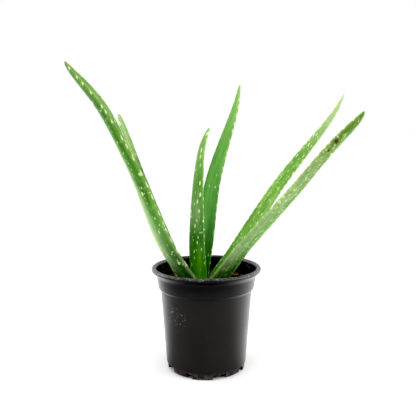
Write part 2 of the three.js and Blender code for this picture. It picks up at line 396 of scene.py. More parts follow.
def makeStreaksGroup():  # long faint fibres along the first axis of the vector
    group, given, result = newGroup(
        "streaks", "ShaderNodeTree", {"Vector": "Vector", "Float": "Scale, Stretch"}, {"Float": "Value"})
    x, y, z = separated(given["Vector"])
    long = combined(x / given["Stretch"], y, z)
    fine = noiseOf(long, given["Scale"], 3.0, 0.6)
    coarse = noiseOf(long, given["Scale"] * 0.31, 2.0, 0.5)
    fill(result, {"Value": fine * 0.45 + coarse * 0.55})
    return group


def makeGrainGroup():  # height of a fine moulded or grown grain
    group, given, result = newGroup(
        "grain", "ShaderNodeTree", {"Vector": "Vector", "Float": "Scale, Waves"}, {"Float": "Height, Blotch"})
    fine = noiseOf(given["Vector"], given["Scale"], 4.0, 0.6)
    waves = noiseOf(given["Vector"], given["Waves"], 2.0, 0.5)
    fill(result, {"Height": fine * 0.35 + waves, "Blotch": waves})
    return group


specks = makeSpecksGroup()
streaks = makeStreaksGroup()
grain = makeGrainGroup()


# Pot.

pot = {
    "sides": 216,
    "height": 108,
    "rimRadius": 57,
    "rollRadius": 2.4,
    "rollSteps": 22,
    "rollStart": -70,
    "rollSweep": 250,
    "collarTop": (51.3, 96.5),
    "collarFoot": (49.8, 86.6),
    "bodyTop": (47.5, 84.4),
    "bodyFoot": (41.8, 7),
    "ringTop": (39.3, 5.9),
    "footRadius": 38.6,
    "tabReach": 1.6,
    "wall": 1.3,
    "wallRise": 0.4,
    "stepRise": 1.4,
    "floor": 1.6,
    "round": 0.7,
    "colour": (0.003, 0.003, 0.0034, 1),
    "dustAndRimShade": (0.0185, 0.0162, 0.0145, 1),
    "grimeAndBounce": (0.09, 0.078, 0.062, 1),
    "worn": (0.34, 0.34, 0.36, 1),
    "dust": (0.34, 0.33, 0.36, 1),
    "soiled": (0.035, 0.024, 0.016, 1),
    "roughness": 0.35,
    "splashPlace": (-31, -31, 62),
    "splashReach": 19,
    "insideTop": 103,
}

notches = {
    "Count": 8, "First Angle": math.radians(-70), "Wide": 14.5 * mm, "Narrow": 6.6 * mm, "Height": 4.6 * mm,
    "Inner Radius": 33.5 * mm, "Outer Radius": 45 * mm,
}


# A polyline with its corners rounded by arcs of about the given radius.
def rounded(points, radius, steps=4):
    result = [points[0]]
    for before, corner, after in zip(points, points[1:], points[2:]):
        before, corner, after = Vector(before), Vector(corner), Vector(after)
        reach = min(radius, (before - corner).length * 0.45, (after - corner).length * 0.45)
        start = corner + (before - corner).normalized() * reach
        end = corner + (after - corner).normalized() * reach
        for step in range(steps + 1):
            share = step / steps
            result.append(tuple(start.lerp(corner, share).lerp(corner.lerp(end, share), share)))
    result.append(points[-1])
    return result


def inset(corner, gap, rise):  # a corner of the pot's outline, moved inward and up
    radius, height = pot[corner]
    return radius - gap, height + rise


def potOutline():
    rise, step, wall = pot["wallRise"], pot["stepRise"], pot["wall"]
    flare = (pot["rimRadius"] - pot["collarTop"][0]) / 4
    outside = rounded([
        (0, 0),
        (pot["footRadius"], 0),
        pot["ringTop"],
        pot["bodyFoot"],
        pot["bodyTop"],
        pot["collarFoot"],
        pot["collarTop"],
        inset("collarTop", -flare / 2, flare * 2),
        inset("collarTop", -flare * 1.6, flare * 3.6),
    ], pot["round"])
    centre = (pot["rimRadius"] - pot["rollRadius"], pot["height"] - pot["rollRadius"])
    roll = []
    for part in range(pot["rollSteps"] + 1):
        angle = math.radians(pot["rollStart"] + pot["rollSweep"] * part / pot["rollSteps"])
        across, up = pot["rollRadius"] * math.cos(angle), pot["rollRadius"] * math.sin(angle)
        roll.append((centre[0] + across, centre[1] + up))
    inside = rounded([
        roll[-1],
        inset("collarTop", wall, 0),
        inset("collarFoot", wall, rise),
        inset("bodyTop", wall, rise),
        inset("bodyFoot", wall, step),
        inset("ringTop", wall, step),
        (pot["footRadius"] - wall, pot["floor"]),
        (0, pot["floor"]),
    ], pot["round"])
    return outside + roll + inside[1:]


# Under the step, every second stretch between the notches stands out as a tab.
def onPotFoot(point, radius):
    x, y, z = point
    inset, outset = pot["ringTop"][0] - pot["wall"], pot["footRadius"] - 0.1
    if z > pot["bodyFoot"][1] or radius < inset:
        return point
    turns = (math.atan2(y, x) + math.pi / 2 - notches["First Angle"]) / (2 * math.pi) * notches["Count"]
    isTab = math.floor(turns) % 2 == 1
    reach = pot["tabReach"] * smoothstep(radius, inset, outset)
    reach *= 1 - smoothstep(z, pot["ringTop"][1], pot["bodyFoot"][1])
    stretch = 1 + isTab * reach / radius
    return x * stretch, y * stretch, z


def makeNotchTree():
    tree, given, result = newGroup("drainNotches", "GeometryNodeTree", {
        "Geometry": "Geometry", "Int": "Count", "Material": "Outside, Inside",
        "Float": "First Angle, Wide, Narrow, Height, Inner Radius, Outer Radius"}, {"Geometry": "Geometry"})
    index = shapeOf(tree, "InputIndex")
    angle = given["First Angle"] + index * (2 * math.pi) / given["Count"]
    middle = (given["Inner Radius"] + given["Outer Radius"]) / 2
    place = combined(calc("SINE", angle) * middle, calc("COSINE", angle) * middle * -1, 0.0)
    points = shapeOf(tree, "Points", {"Count": given["Count"], "Position": place})
    isNarrow = calc("MODULO", index, 2.0)
    width = given["Wide"] + (given["Narrow"] - given["Wide"]) * isNarrow
    size = combined(width, given["Outer Radius"] - given["Inner Radius"], given["Height"] * 2)
    cube = shapeOf(tree, "MeshCube")
    cutters = shapeOf(tree, "InstanceOnPoints", {
        "Points": points, "Instance": cube, "Rotation": combined(0.0, 0.0, angle), "Scale": size})
    solid = shapeOf(tree, "RealizeInstances", {0: cutters})
    cut = shapeOf(tree, "MeshBoolean", {"Mesh 1": given["Geometry"], "Mesh 2": solid},
                  operation="DIFFERENCE", solver="EXACT")
    plastic = shapeOf(tree, "SetMaterial", {0: cut, "Material": given["Outside"]})
    normal = shapeOf(tree, "InputNormal")
    x, y, z = separated(shapeOf(tree, "InputPosition"))
    sideways = vectorCalc("NORMALIZE", combined(x, y, 0.0))
    isInside = (calc("LESS_THAN", vectorCalc("DOT_PRODUCT", sideways, normal), -0.5)
                * calc("LESS_THAN", z, pot["insideTop"] * mm))
    fill(result, {"Geometry": shapeOf(tree, "SetMaterial", {
        0: plastic, "Selection": isInside, "Material": given["Inside"]})})
    return tree


# Black moulded plastic with a soft sheen: below the collar a thin layer of dust, which also serves
# as painted shade that leaves the collar under the rim darker; fine scuffs along the rolled rim, painted
# lighter as glints, with a painted sheen at the rim's left and right sides; and a patch of dried splashes low
# on the front.
def makePotPlastic():
    material, tree, shader = newMaterial("potPlastic")
    place = objectPlace(tree)
    x, _, z = separated(place)
    texture = placeGroup(grain, {"Vector": place, "Scale": 1400.0, "Waves": 60.0})
    splash = placeGroup(specks, {
        "Vector": place, "Scale": 640.0, "Share": 1.2, "Size": 0.42, "Patch Scale": 110.0})
    away = vectorCalc("LENGTH", vectorCalc("SUBTRACT", place, Vector(pot["splashPlace"]) * mm))
    reach = pot["splashReach"] * mm
    splashed = splash["Mask"] * smooth(away, reach, reach * 0.4)
    stray = placeGroup(specks, {
        "Vector": place, "Scale": 430.0, "Share": 0.07, "Size": 0.2, "Patch Scale": 30.0})
    dots = calc("MAXIMUM", splashed * 0.85, stray["Mask"] * 0.15)
    onRim = smooth(z, 105.0 * mm, 106.8 * mm)
    scuffs = smooth(noiseOf(place, 1000.0, 3.0, 0.65), 0.5, 0.66)
    scuffs = scuffs * (0.35 + 0.65 * smooth(noiseOf(place, 200.0, 2.0), 0.42, 0.6))
    # Lighter below the collar: a thin layer of dust, and painted shade that leaves the collar under the rim
    # darker.
    dustAndRimShade = (1 - smooth(z, 82 * mm, 98 * mm)) * (0.3 + 0.6 * noiseOf(place, 30.0, 4.0, 0.6))
    colour = mixColour(dustAndRimShade, pot["colour"], pot["dustAndRimShade"])
    # Lighter near the floor: some dirt, and painted bounce light from the white floor on the foot.
    grimeAndBounce = smooth(noiseOf(place, 260.0, 4.0, 0.65), 0.38, 0.7) * smooth(z, 9 * mm, 3 * mm)
    colour = mixColour(grimeAndBounce, colour, pot["grimeAndBounce"])
    # Painted sheen at the rim's left and right sides, and scuffs painted lighter as glints along the rim.
    sheenAtSides = smooth(abs(x), 34 * mm, 55 * mm)
    colour = mixColour((scuffs * 0.9 + sheenAtSides * (0.08 + 0.42 * scuffs)) * onRim, colour, pot["worn"])
    rough = scuffs * onRim * 0.14 + dots * 0.3 + (texture["Blotch"] - 0.5) * 0.1
    fill(shader, {
        "Base Color": mixColour(dots, colour, pot["dust"]),
        "Roughness": pot["roughness"] + rough,
        "Normal": relief(texture["Height"] + scuffs * onRim * 1.5 + dots * 0.4, 0.05),
        "Specular IOR Level": 0.32,
    })
    return material


# The inner wall is dull with soil dust.
def makePotInside():
    material, tree, shader = newMaterial("potInside")
    place = objectPlace(tree)
    soiled = placeGroup(specks, {
        "Vector": place, "Scale": 700.0, "Share": 0.7, "Size": 0.42, "Patch Scale": 60.0})["Mask"]
    near = smooth(separated(place)[2], 102 * mm, 93 * mm)
    texture = placeGroup(grain, {"Vector": place, "Scale": 1400.0, "Waves": 90.0})
    # Faint grey patches scattered over the inner wall.
    greyPatches = smooth(noiseOf(place, 480.0, 3.0, 0.65), 0.56, 0.7)
    greyPatches = greyPatches * smooth(noiseOf(place, 55.0, 1.0), 0.48, 0.62)
    colour = mixColour(soiled * near, pot["colour"], pot["soiled"])
    fill(shader, {
        "Base Color": mixColour(greyPatches * 0.5, colour, pot["dust"]),
        "Roughness": 0.6 + texture["Blotch"] * 0.25,
        "Normal": relief(texture["Height"] + soiled, 0.08),
        "Specular IOR Level": 0.1,
    })
    return material


def makePot():
    shell = revolved("potShell", potOutline(), pot["sides"], onPotFoot)
    finishes = {"Outside": makePotPlastic(), "Inside": makePotInside()}
    piece = runTree(makeNotchTree(), "nurseryPot", {**notches, **finishes}, shell)
    smoothShaded(piece.data, 32)
    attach(piece, "root")
    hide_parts("pot")


makePot()
print("pot made")


# Crown of the plant and the soil round it.

crown = {
    "centre": (-5, 0),
    "top": 86.2,
    "edgeHeight": 84.6,
    "radius": 16.5,
    "shoulderHeight": 79,
    "neckRadius": 8.5,
    "neckHeight": 70,
    "rootRadius": 5.5,
    "rootFoot": 50,
    "sides": 96,
    "scarSteps": 12,
    "scarDepth": 0.9,
    "topRings": 14,
    "bark": (0.12, 0.085, 0.045, 1),
    "green": (0.07, 0.11, 0.03, 1),
}

soil = {
    "sides": 200,
    "surface": 92,
    "dishRadius": 34,
    "dishFloor": 84.3,
    "lump": 0.9,
    "gap": 0.3,
    "holeGap": 0.35,
    "topRings": 46,
    "colour": (0.014, 0.010, 0.0075, 1),
    "dry": (0.05, 0.034, 0.022, 1),
}


def dishHeight(distance):
    rise = smoothstep(distance, crown["radius"] + 1, soil["dishRadius"])
    return soil["dishFloor"] + rise * (soil["surface"] - soil["dishFloor"])


def lumps(x, y, seed):  # a mixed bumpiness from -1 to 1, x and y in millimetres
    broad = noise.noise(Vector((x / 9, y / 9, seed)))
    fine = noise.noise(Vector((x / 2.6, y / 2.6, seed + 7)))
    return broad + 0.6 * fine


def makeSoilGround():
    gap = soil["gap"]
    side = pot["wall"] + 2 * gap
    rise = 2 * pot["wallRise"]
    step = pot["stepRise"] + pot["wallRise"]
    hole = crown["radius"] + soil["holeGap"]
    (footRadius, footHeight), (topRadius, topHeight) = pot["collarFoot"], pot["collarTop"]
    share = (soil["surface"] - footHeight) / (topHeight - footHeight)
    edge = footRadius + share * (topRadius - footRadius) - side
    rings = [edge + (hole - edge) * ring / soil["topRings"] for ring in range(soil["topRings"] + 1)]
    outline = [
        (0, pot["floor"] + gap),
        (pot["footRadius"] - side, pot["floor"] + gap),
        inset("ringTop", side, step),
        inset("bodyFoot", side, step),
        inset("bodyTop", side, rise),
        inset("collarFoot", side, rise),
        *[(radius, dishHeight(radius)) for radius in rings],
        (hole, crown["shoulderHeight"] - gap),
        (crown["neckRadius"] + gap, crown["neckHeight"] - gap),
        (crown["rootRadius"] + gap, crown["rootFoot"] - gap),
        (0, crown["rootFoot"] - gap),
    ]

    def place(point, radius):
        x, y, z = point
        isTop = z > dishHeight(radius) - 0.01 and hole - 0.01 < radius
        isHole = radius < hole + 0.01 and z > crown["rootFoot"] - 1
        if isTop or isHole:
            shift = 1 if isHole else (edge - radius) / (edge - hole)
            x += crown["centre"][0] * shift
        if isTop:
            z += soil["lump"] * lumps(x, y, 3) * (0.5 if radius > edge - 1 else 1)
        return x, y, z

    return revolved("soilGround", outline, soil["sides"], place)


def makeSoilMaterial(name, dark, light):
    material, tree, shader = newMaterial(name)
    place = objectPlace(tree)
    texture = placeGroup(grain, {"Vector": place, "Scale": 2200.0, "Waves": 420.0})
    colour = mixColour(smooth(noiseOf(place, 330.0, 5.0, 0.7), 0.45, 0.72), dark, light)
    fill(shader, {
        "Base Color": colour,
        "Roughness": 0.78 + texture["Blotch"] * 0.25,
        "Normal": relief(texture["Height"], 0.6),
    })
    return material


crumbs = {  # densities per square metre
    "Crumb Density": 420000.0, "Crumb Size": 1.15 * mm, "Fibre Density": 26000.0, "Fibre Length": 6.5 * mm,
    "Fibre Width": 0.42 * mm, "Seed": 8,
}


# Crumbs and fibres scattered over the top of the soil.
def makeCrumbTree():
    tree, given, result = newGroup("soilCrumbs", "GeometryNodeTree", {
        "Geometry": "Geometry", "Int": "Seed", "Material": "Ground, Crumb, Fibre",
        "Float": "Crumb Density, Crumb Size, Fibre Density, Fibre Length, Fibre Width"},
        {"Geometry": "Geometry"})

    def scatter(density, shape, low, high, seedStep, tilt):
        spread = addNode(tree, "GeometryNodeDistributePointsOnFaces", {
            "Mesh": given["Geometry"], "Density": density, "Seed": given["Seed"] + seedStep,
            "Selection": selection})
        turn = flowOf(tree, "FunctionNodeRandomValue", {
            "Min": (-tilt, -tilt, 0.0), "Max": (tilt, tilt, 6.28), "Seed": given["Seed"] + (seedStep + 1)},
            data_type="FLOAT_VECTOR")
        size = flowOf(tree, "FunctionNodeRandomValue", {
            "Min": low, "Max": high, "Seed": given["Seed"] + (seedStep + 2)}, data_type="FLOAT_VECTOR")
        made = shapeOf(tree, "InstanceOnPoints", {
            "Points": spread.outputs["Points"], "Instance": shape, "Rotation": turn, "Scale": size})
        return shapeOf(tree, "RealizeInstances", {0: made})

    position = shapeOf(tree, "InputPosition")
    x, y, z = separated(position)
    up = separated(shapeOf(tree, "InputNormal"))[2]
    selection = calc("GREATER_THAN", up, 0.3) * calc("GREATER_THAN", z, (soil["dishFloor"] - 3) * mm)
    ball = shapeOf(tree, "MeshIcoSphere", {"Radius": 0.5, "Subdivisions": 1})
    wobble = noiseOf(position, 2.3, 1.0)
    lumpy = shapeOf(tree, "SetPosition", {
        "Geometry": ball, "Position": scaled(position, 0.55 + wobble * 0.9)})
    crumb = scatter(given["Crumb Density"], lumpy, scaled((0.5, 0.5, 0.4), given["Crumb Size"]),
                    scaled((2.0, 1.7, 1.3), given["Crumb Size"]), 0, 3.1)
    rod = shapeOf(tree, "MeshCylinder", {
        "Vertices": 5, "Side Segments": 5, "Radius": 0.5, "Depth": 1.0})
    bow = combined(z, x + 0.8 * z * z, y + 0.4 * z)
    bent = shapeOf(tree, "SetPosition", {"Geometry": rod, "Position": bow})
    thin = combined(given["Fibre Length"] * 0.3, given["Fibre Width"] * 0.6, given["Fibre Width"] * 0.6)
    thick = combined(given["Fibre Length"], given["Fibre Width"] * 1.8, given["Fibre Width"] * 1.8)
    fibre = scatter(given["Fibre Density"], bent, thin, thick, 10, 0.3)
    joined = addNode(tree, "GeometryNodeJoinGeometry", {})
    for geometry, which in ((given["Geometry"], "Ground"), (crumb, "Crumb"), (fibre, "Fibre")):
        feed(joined.inputs[0], shapeOf(tree, "SetMaterial", {0: geometry, "Material": given[which]}))
    fill(result, {"Geometry": joined.outputs[0]})
    return tree


def makeSoil():
    values = {**crumbs, **litter, "Ground": litter["Crumb"]}
    piece = runTree(crumbTree, "pottingSoil", values, makeSoilGround())
    smoothShaded(piece.data, 50)
    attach(piece, "root")
    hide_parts("soil")


def makeCrown():
    steps, rings = crown["scarSteps"], crown["topRings"]
    shoulder, brim = crown["shoulderHeight"], crown["edgeHeight"]
    side = [(crown["radius"] - crown["scarDepth"] * (step % 2), shoulder + (brim - shoulder) * step / steps)
            for step in range(steps + 1)]
    top = [(crown["radius"] * (1 - ring / rings),
            brim + (crown["top"] - brim) * math.sin(math.pi / 2 * min(1, ring / 4)))
           for ring in range(1, rings)]
    outline = [(0, crown["rootFoot"]), (crown["rootRadius"], crown["rootFoot"]),
               (crown["neckRadius"], crown["neckHeight"]), *side, *top, (0, crown["top"])]

    def place(point, _):
        x, y, z = point
        swell = 1 - 0.012 * abs(noise.noise(Vector((x / 3, y / 3, z / 1.5))))
        return x * swell + crown["centre"][0], y * swell + crown["centre"][1], z

    mesh = revolved("crown", outline, crown["sides"], place)
    for end in (mesh.vertices[0], mesh.vertices[-1]):
        end.co.x += crown["centre"][0] * mm
    material, tree, shader = newMaterial("crownBark", 0.8)
    position = objectPlace(tree)
    z = separated(position)[2]
    texture = placeGroup(grain, {"Vector": position, "Scale": 1600.0, "Waves": 300.0})
    colour = mixColour(smooth(z, 84 * mm, 86.2 * mm), crown["bark"], crown["green"])
    colour = mixColour(smooth(texture["Blotch"], 0.45, 0.7), colour, soil["dry"])
    fill(shader, {"Base Color": colour, "Normal": relief(texture["Height"], 0.3)})
    sparse = {"Seed": 21, "Crumb Size": 0.9 * mm, "Crumb Density": 180000.0}
    piece = runTree(crumbTree, "plantCrown", {**crumbs, **litter, **sparse, "Ground": material}, mesh)
    smoothShaded(piece.data, 60)
    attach(piece, "root")
    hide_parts("stem")


crumbTree = makeCrumbTree()
litter = {"Crumb": makeSoilMaterial("pottingSoil", soil["colour"], soil["dry"]),
          "Fibre": makeSoilMaterial("soilFibre", (0.05, 0.03, 0.016, 1), (0.14, 0.08, 0.04, 1))}
makeSoil()
makeCrown()
print("soil and crown made")


# Flake of bark on the soil.

flake = {
    "place": (31, 18), "length": 9, "width": 4.6, "thick": 1.2, "curl": 1.3, "turn": 25, "steps": (36, 18),
    "colour": (0.26, 0.075, 0.022, 1), "dark": (0.09, 0.03, 0.014, 1),
}


def makeFlake():
    columns, rows = flake["steps"]
    points, faces = [], []
    turn = math.radians(flake["turn"])
    for side in (-1, 1):
        for row in range(rows + 1):
            for column in range(columns + 1):
                along, across = 2 * column / columns - 1, 2 * row / rows - 1
                ragged = 1 - 0.35 * along * along - 0.1 * noise.noise(Vector((along * 4, 3, 1)))
                x = along * flake["length"] / 2 * (1 + 0.08 * noise.noise(Vector((across * 3, 9, 2))))
                y = across * flake["width"] / 2 * ragged
                rough = 0.25 * noise.noise(Vector((x * 1.2, y * 2.5, side * 4)))
                edge = 1 - max(abs(along), abs(across)) ** 8
                z = flake["curl"] * across * across + 0.4 * along * along
                z += side * flake["thick"] / 2 * (0.25 + 0.75 * edge) + rough * edge
                points.append((x * math.cos(turn) - y * math.sin(turn) + flake["place"][0],
                               x * math.sin(turn) + y * math.cos(turn) + flake["place"][1],
                               z + soil["surface"] + soil["gap"] + flake["thick"] / 2))
    layer = (columns + 1) * (rows + 1)

    def at(side, row, column):
        return side * layer + row * (columns + 1) + column

    for row in range(rows):
        for column in range(columns):
            corners = [at(0, row, column), at(0, row, column + 1),
                       at(0, row + 1, column + 1), at(0, row + 1, column)]
            faces.append(tuple(reversed(corners)))
            faces.append(tuple(corner + layer for corner in corners))
    border = [(0, column) for column in range(columns)] + [(row, columns) for row in range(rows)]
    border += [(rows, columns - column) for column in range(columns)]
    border += [(rows - row, 0) for row in range(rows)]
    for here, after in zip(border, border[1:] + border[:1]):
        faces.append((at(0, *here), at(0, *after), at(1, *after), at(1, *here)))
    mesh = meshOf("barkFlake", points, faces)
    material, tree, shader = newMaterial("flakeBark", 0.75)
    position = objectPlace(tree)
    turned = flowOf(tree, "ShaderNodeMapping", {"Vector": position, "Rotation": (0, 0, -turn)})
    fibres = placeGroup(streaks, {"Vector": turned, "Scale": 1500.0, "Stretch": 8.0})
    colour = mixColour(smooth(fibres["Value"], 0.4, 0.6), flake["dark"], flake["colour"])
    fill(shader, {"Base Color": colour, "Normal": relief(fibres["Value"], 0.35)})
    mesh.materials.append(material)
    smoothShaded(mesh, 50)
    piece = addPiece("barkFlake", mesh)
    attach(piece, "root")
    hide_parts("bark_chip")


makeFlake()
print("bark flake made")


# Leaves.

# What all leaves share, with the teeth of their margins.
blade = {
    "Rows": 220, "Around": 56, "Channel": 0.16, "Lip": 0.32 * mm, "Bend Length": 13 * mm,
    "Clasp Length": 17 * mm, "Clasp Flare": 0.12, "Clasp Bend": 0.34, "Uneven": 0.1 * mm,
    "Tip Power": 8.0, "Tip Point": 0.5,
    "Tooth Pitch": 9.5 * mm, "Tooth Height": 1.3 * mm, "Tooth Length": 2.4 * mm, "Tooth Thickness": 0.9 * mm,
}

# A leaf's shape goes to its tree. The colours of the outer and the inner face run from foot to tip; where
# they are very dark at the foot, that is partly painted shade deep in the pot. Below, along runs from 0 to 1,
# across from -1 to 1, and face is 0 for the outer one, 1 for the inner one. A band is face, across, reach,
# start, end
# and amount: above 0 a paler band of painted sheen, partly wax bloom; below 0 a band of painted shade. A mark
# is face, along, across, size and colour. Bare thins the flecks: across, reach, end and the gain beside it.
# Clear takes flecks off the inner face. Scatter shifts their pattern. Foot is how strongly painted shade
# darkens the leaf toward its foot.
leaves = {
    "leafLeftLong": {
        "node": "leaf_left_long", "slot": "leaf_front", "scatter": 0.0,
        "path": [(-11.3, -7.6, 86.5), (-16.5, -11, 97), (-38.5, -14, 133), (-69.5, -19, 215.5),
                 (-100.7, -13, 273.5), (-141, 0, 317)],
        "shape": {
            "Face at Foot": (0.47, 0.85, 0.24), "Face at Tip": (0.57, -0.42, 0.71), "Width": 18.4 * mm,
            "Thick": 10.2 * mm, "Tooth Pitch": 13 * mm, "Taper": 5.0, "Neck": 0.26, "Blunt": 0.23,
            "Tooth Lean": 0.25, "Seed": 1,
        },
        "outer": [(0.005, 0.048, 0.002), (0.076, 0.252, 0.034), (0.042, 0.185, 0.009),
                  (0.032, 0.145, 0.002)],
        "inner": [(0.03, 0.14, 0.012), (0.08, 0.25, 0.03), (0.06, 0.18, 0.018), (0.125, 0.27, 0.032)],
        "streaks": 1.0, "mottle": 0.25, "foot": 0.65, "edge": 0.22, "spots": 0.35, "dots": 0.35,
        "specks": 0.25, "teeth": 1.3, "clear": 0.9, "bare": (0.3, 0.36, 0.62, 2.0),
        "bands": [(0, 0.05, 0.72, 0.11, 0.66, 0.7), (0, 0.3, 0.9, 0.21, 0.28, 0.35),
                  (0, 0.2, 0.5, 0, 0.1, 0.1), (0, 1, 0.5, 0, 0.17, -1), (1, 0.6, 0.5, 0.5, 1, 0.2)],
    },
    "leafLeftRear": {
        "node": "leaf_left_rear", "slot": "leaf_rear", "scatter": 7.0,
        "path": [(-15.5, 4.6, 86.5), (-24, 7.5, 96), (-33, 11, 111), (-66.5, 20, 191), (-92, 28, 265.4)],
        "shape": {
            "Face at Foot": (0.6, -0.78, 0.18), "Face at Tip": (0.8, -0.5, 0.33), "Width": 17 * mm,
            "Thick": 5.2 * mm, "Tooth Pitch": 10 * mm, "Taper": 2.5, "Neck": 0.1, "Blunt": 0.72,
            "Tooth Lean": 0.1, "Seed": 2,
        },
        "outer": [(0.008, 0.035, 0.003), (0.07, 0.24, 0.03), (0.13, 0.32, 0.06), (0.3, 0.45, 0.14)],
        "inner": [(0.008, 0.035, 0.003), (0.06, 0.2, 0.02), (0.08, 0.22, 0.04), (0.24, 0.38, 0.11)],
        "streaks": 0.9, "mottle": 0.25, "foot": 1.0, "edge": 0.35, "spots": 0.35, "dots": 0.35,
        "specks": 0.25, "teeth": 1.0, "clear": 0.5,
        "bands": [(1, 0.0, 0.5, 0.4, 1, 0.3), (0, 0.0, 0.6, 0.2, 1, -0.2)],
    },
    "leafCentreShort": {
        "node": "leaf_centre_short", "slot": "leaf_young", "scatter": 15.3,
        "path": [(-6.5, -1.9, 86.5), (-7.6, -6, 100), (-9.5, -11, 133), (-7.7, -15, 196),
                 (-3.3, -18, 232.5), (3.4, -20, 251)],
        "shape": {
            "Face at Foot": (0.05, 1, 0.07), "Face at Tip": (0.6, 0.78, -0.15), "Width": 18 * mm,
            "Thick": 6 * mm, "Tooth Pitch": 10 * mm, "Taper": 1.5, "Neck": 0.13, "Blunt": 0.32,
            "Tooth Lean": 0.15, "Seed": 3,
        },
        "outer": [(0.13, 0.5, 0.03), (0.016, 0.13, 0.003), (0.073, 0.26, 0.023), (0.24, 0.45, 0.13)],
        "inner": [(0.06, 0.25, 0.01), (0.06, 0.27, 0.015), (0.09, 0.3, 0.035), (0.15, 0.35, 0.06)],
        "streaks": 1.0, "mottle": 0.1, "foot": 0.0, "edge": 0.15, "spots": 0.8, "dots": 0.2,
        "specks": 0.05, "teeth": 0.85,
        "bands": [(0, -0.7, 1.6, 0.2, 0.3, -1.0), (0, 0.95, 0.6, 0.1, 0.5, -0.5),
                  (0, 0.0, 0.9, 0.5, 0.7, 0.15), (0, 0.0, 1.2, 0.42, 0.54, 0.35)],
    },
    "leafCentreTall": {
        "node": "leaf_centre_tall", "slot": "leaf_young", "scatter": 24.9,
        "path": [(-5, 1.9, 86.5), (-4.5, 5, 100), (-0.7, 9, 141), (7, 16, 195.5), (30.7, 23, 274),
                 (35, 28, 295.5)],
        "shape": {
            "Face at Foot": (0.25, -0.96, 0.05), "Face at Tip": (-0.6, -0.7, 0.3), "Width": 19.3 * mm,
            "Thick": 5.9 * mm, "Tooth Pitch": 9.5 * mm, "Taper": 2.3, "Neck": 0.37, "Blunt": 0.26,
            "Tooth Lean": -0.2, "Seed": 4,
        },
        "outer": [(0.03, 0.17, 0.008), (0.05, 0.25, 0.02), (0.09, 0.3, 0.035), (0.18, 0.4, 0.06)],
        "inner": [(0.012, 0.15, 0.003), (0.098, 0.335, 0.062), (0.117, 0.345, 0.064), (0.235, 0.46, 0.1)],
        "streaks": 0.7, "mottle": 0.05, "foot": 0.35, "edge": 0.12, "spots": 0.12, "dots": 0.02,
        "specks": 0, "teeth": 0.75,
        "bands": [(1, 0.95, 0.4, 0.1, 1, -0.4), (1, -0.1, 0.5, 0.1, 0.6, -0.15),
                  (1, -0.6, 0.8, 0.02, 0.3, -0.5)],
    },
    "leafRightRear": {
        "node": "leaf_right_rear", "slot": "leaf_rear", "scatter": 28.0,
        "path": [(7.4, 3.6, 86.5), (12.6, 8, 97), (26.9, 13, 116.1), (78.5, 26, 192.5),
                 (134.5, 37, 263.5), (149.5, 48, 287)],
        "shape": {
            "Face at Foot": (-0.5, -0.85, 0.2), "Face at Tip": (-0.3, -0.75, 0.58), "Width": 16.5 * mm,
            "Thick": 5.2 * mm, "Tooth Pitch": 9 * mm, "Taper": 2.15, "Neck": 0.1, "Blunt": 0.24,
            "Tooth Lean": 0.05, "Seed": 5,
        },
        "outer": [(0.04, 0.16, 0.012), (0.1, 0.3, 0.035), (0.13, 0.34, 0.05), (0.3, 0.45, 0.16)],
        "inner": [(0.11, 0.36, 0.05), (0.18, 0.42, 0.064), (0.138, 0.345, 0.049), (0.44, 0.58, 0.3)],
        "streaks": 0.9, "mottle": 0.15, "foot": 0.4, "edge": 0.15, "spots": 0.8, "dots": 0.75,
        "specks": 0.3, "teeth": 0.8,
        "bands": [(1, -0.15, 0.45, 0.1, 0.5, -0.25), (1, -0.75, 0.5, 0.1, 0.5, 0.25),
                  (1, 0.8, 0.5, 0.22, 0.42, -0.55), (1, 0.5, 0.6, 0.7, 1, 0.2)],
        "marks": [(1, 0.668, -0.76, 1.1, (0.42, 0.2, 0.03, 1))],
    },
    "leafRightFront": {
        "node": "leaf_right_front", "slot": "leaf_front", "scatter": 40.2,
        "path": [(3.6, -6.2, 86.5), (12.2, -10, 96.5), (34.8, -14, 128.5), (82, -28, 187.5),
                 (120, -40, 237), (147, -48, 266.8)],
        "shape": {
            "Face at Foot": (-0.56, 0.8, 0.2), "Face at Tip": (-0.63, 0.36, 0.69), "Width": 18.3 * mm,
            "Thick": 7.8 * mm, "Tooth Pitch": 9 * mm, "Taper": 1.8, "Neck": -0.22, "Blunt": 0.82,
            "Tooth Lean": -0.15, "Tip Power": 20.0, "Tip Point": 1.0, "Seed": 6,
        },
        "outer": [(0.008, 0.06, 0.004), (0.106, 0.28, 0.05), (0.1, 0.215, 0.03), (0.095, 0.2, 0.016)],
        "inner": [(0.05, 0.16, 0.02), (0.12, 0.28, 0.05), (0.14, 0.28, 0.06), (0.14, 0.24, 0.04)],
        "streaks": 0.9, "mottle": 0.7, "foot": 0.3, "edge": 0.3, "spots": 0.15, "dots": 0.5,
        "specks": 0.9, "teeth": 0.85, "bare": (-0.8, 0.5, 0.45, 0.8),
        "bands": [(0, 0.8, 0.9, 0.36, 0.7, 0.4), (0, -0.85, 0.7, 0.14, 0.75, 0.6),
                  (0, -0.2, 1.0, 0.0, 0.18, -0.7)],
        "marks": [(0, 0.815, -0.6, 1.6, (0.4, 0.3, 0.2, 1)),
                  (0, 0.842, -0.81, 1.7, (0.05, 0.02, 0.006, 1)),
                  (0, 0.794, -0.79, 1.4, (0.1, 0.045, 0.015, 1))],
    },
}


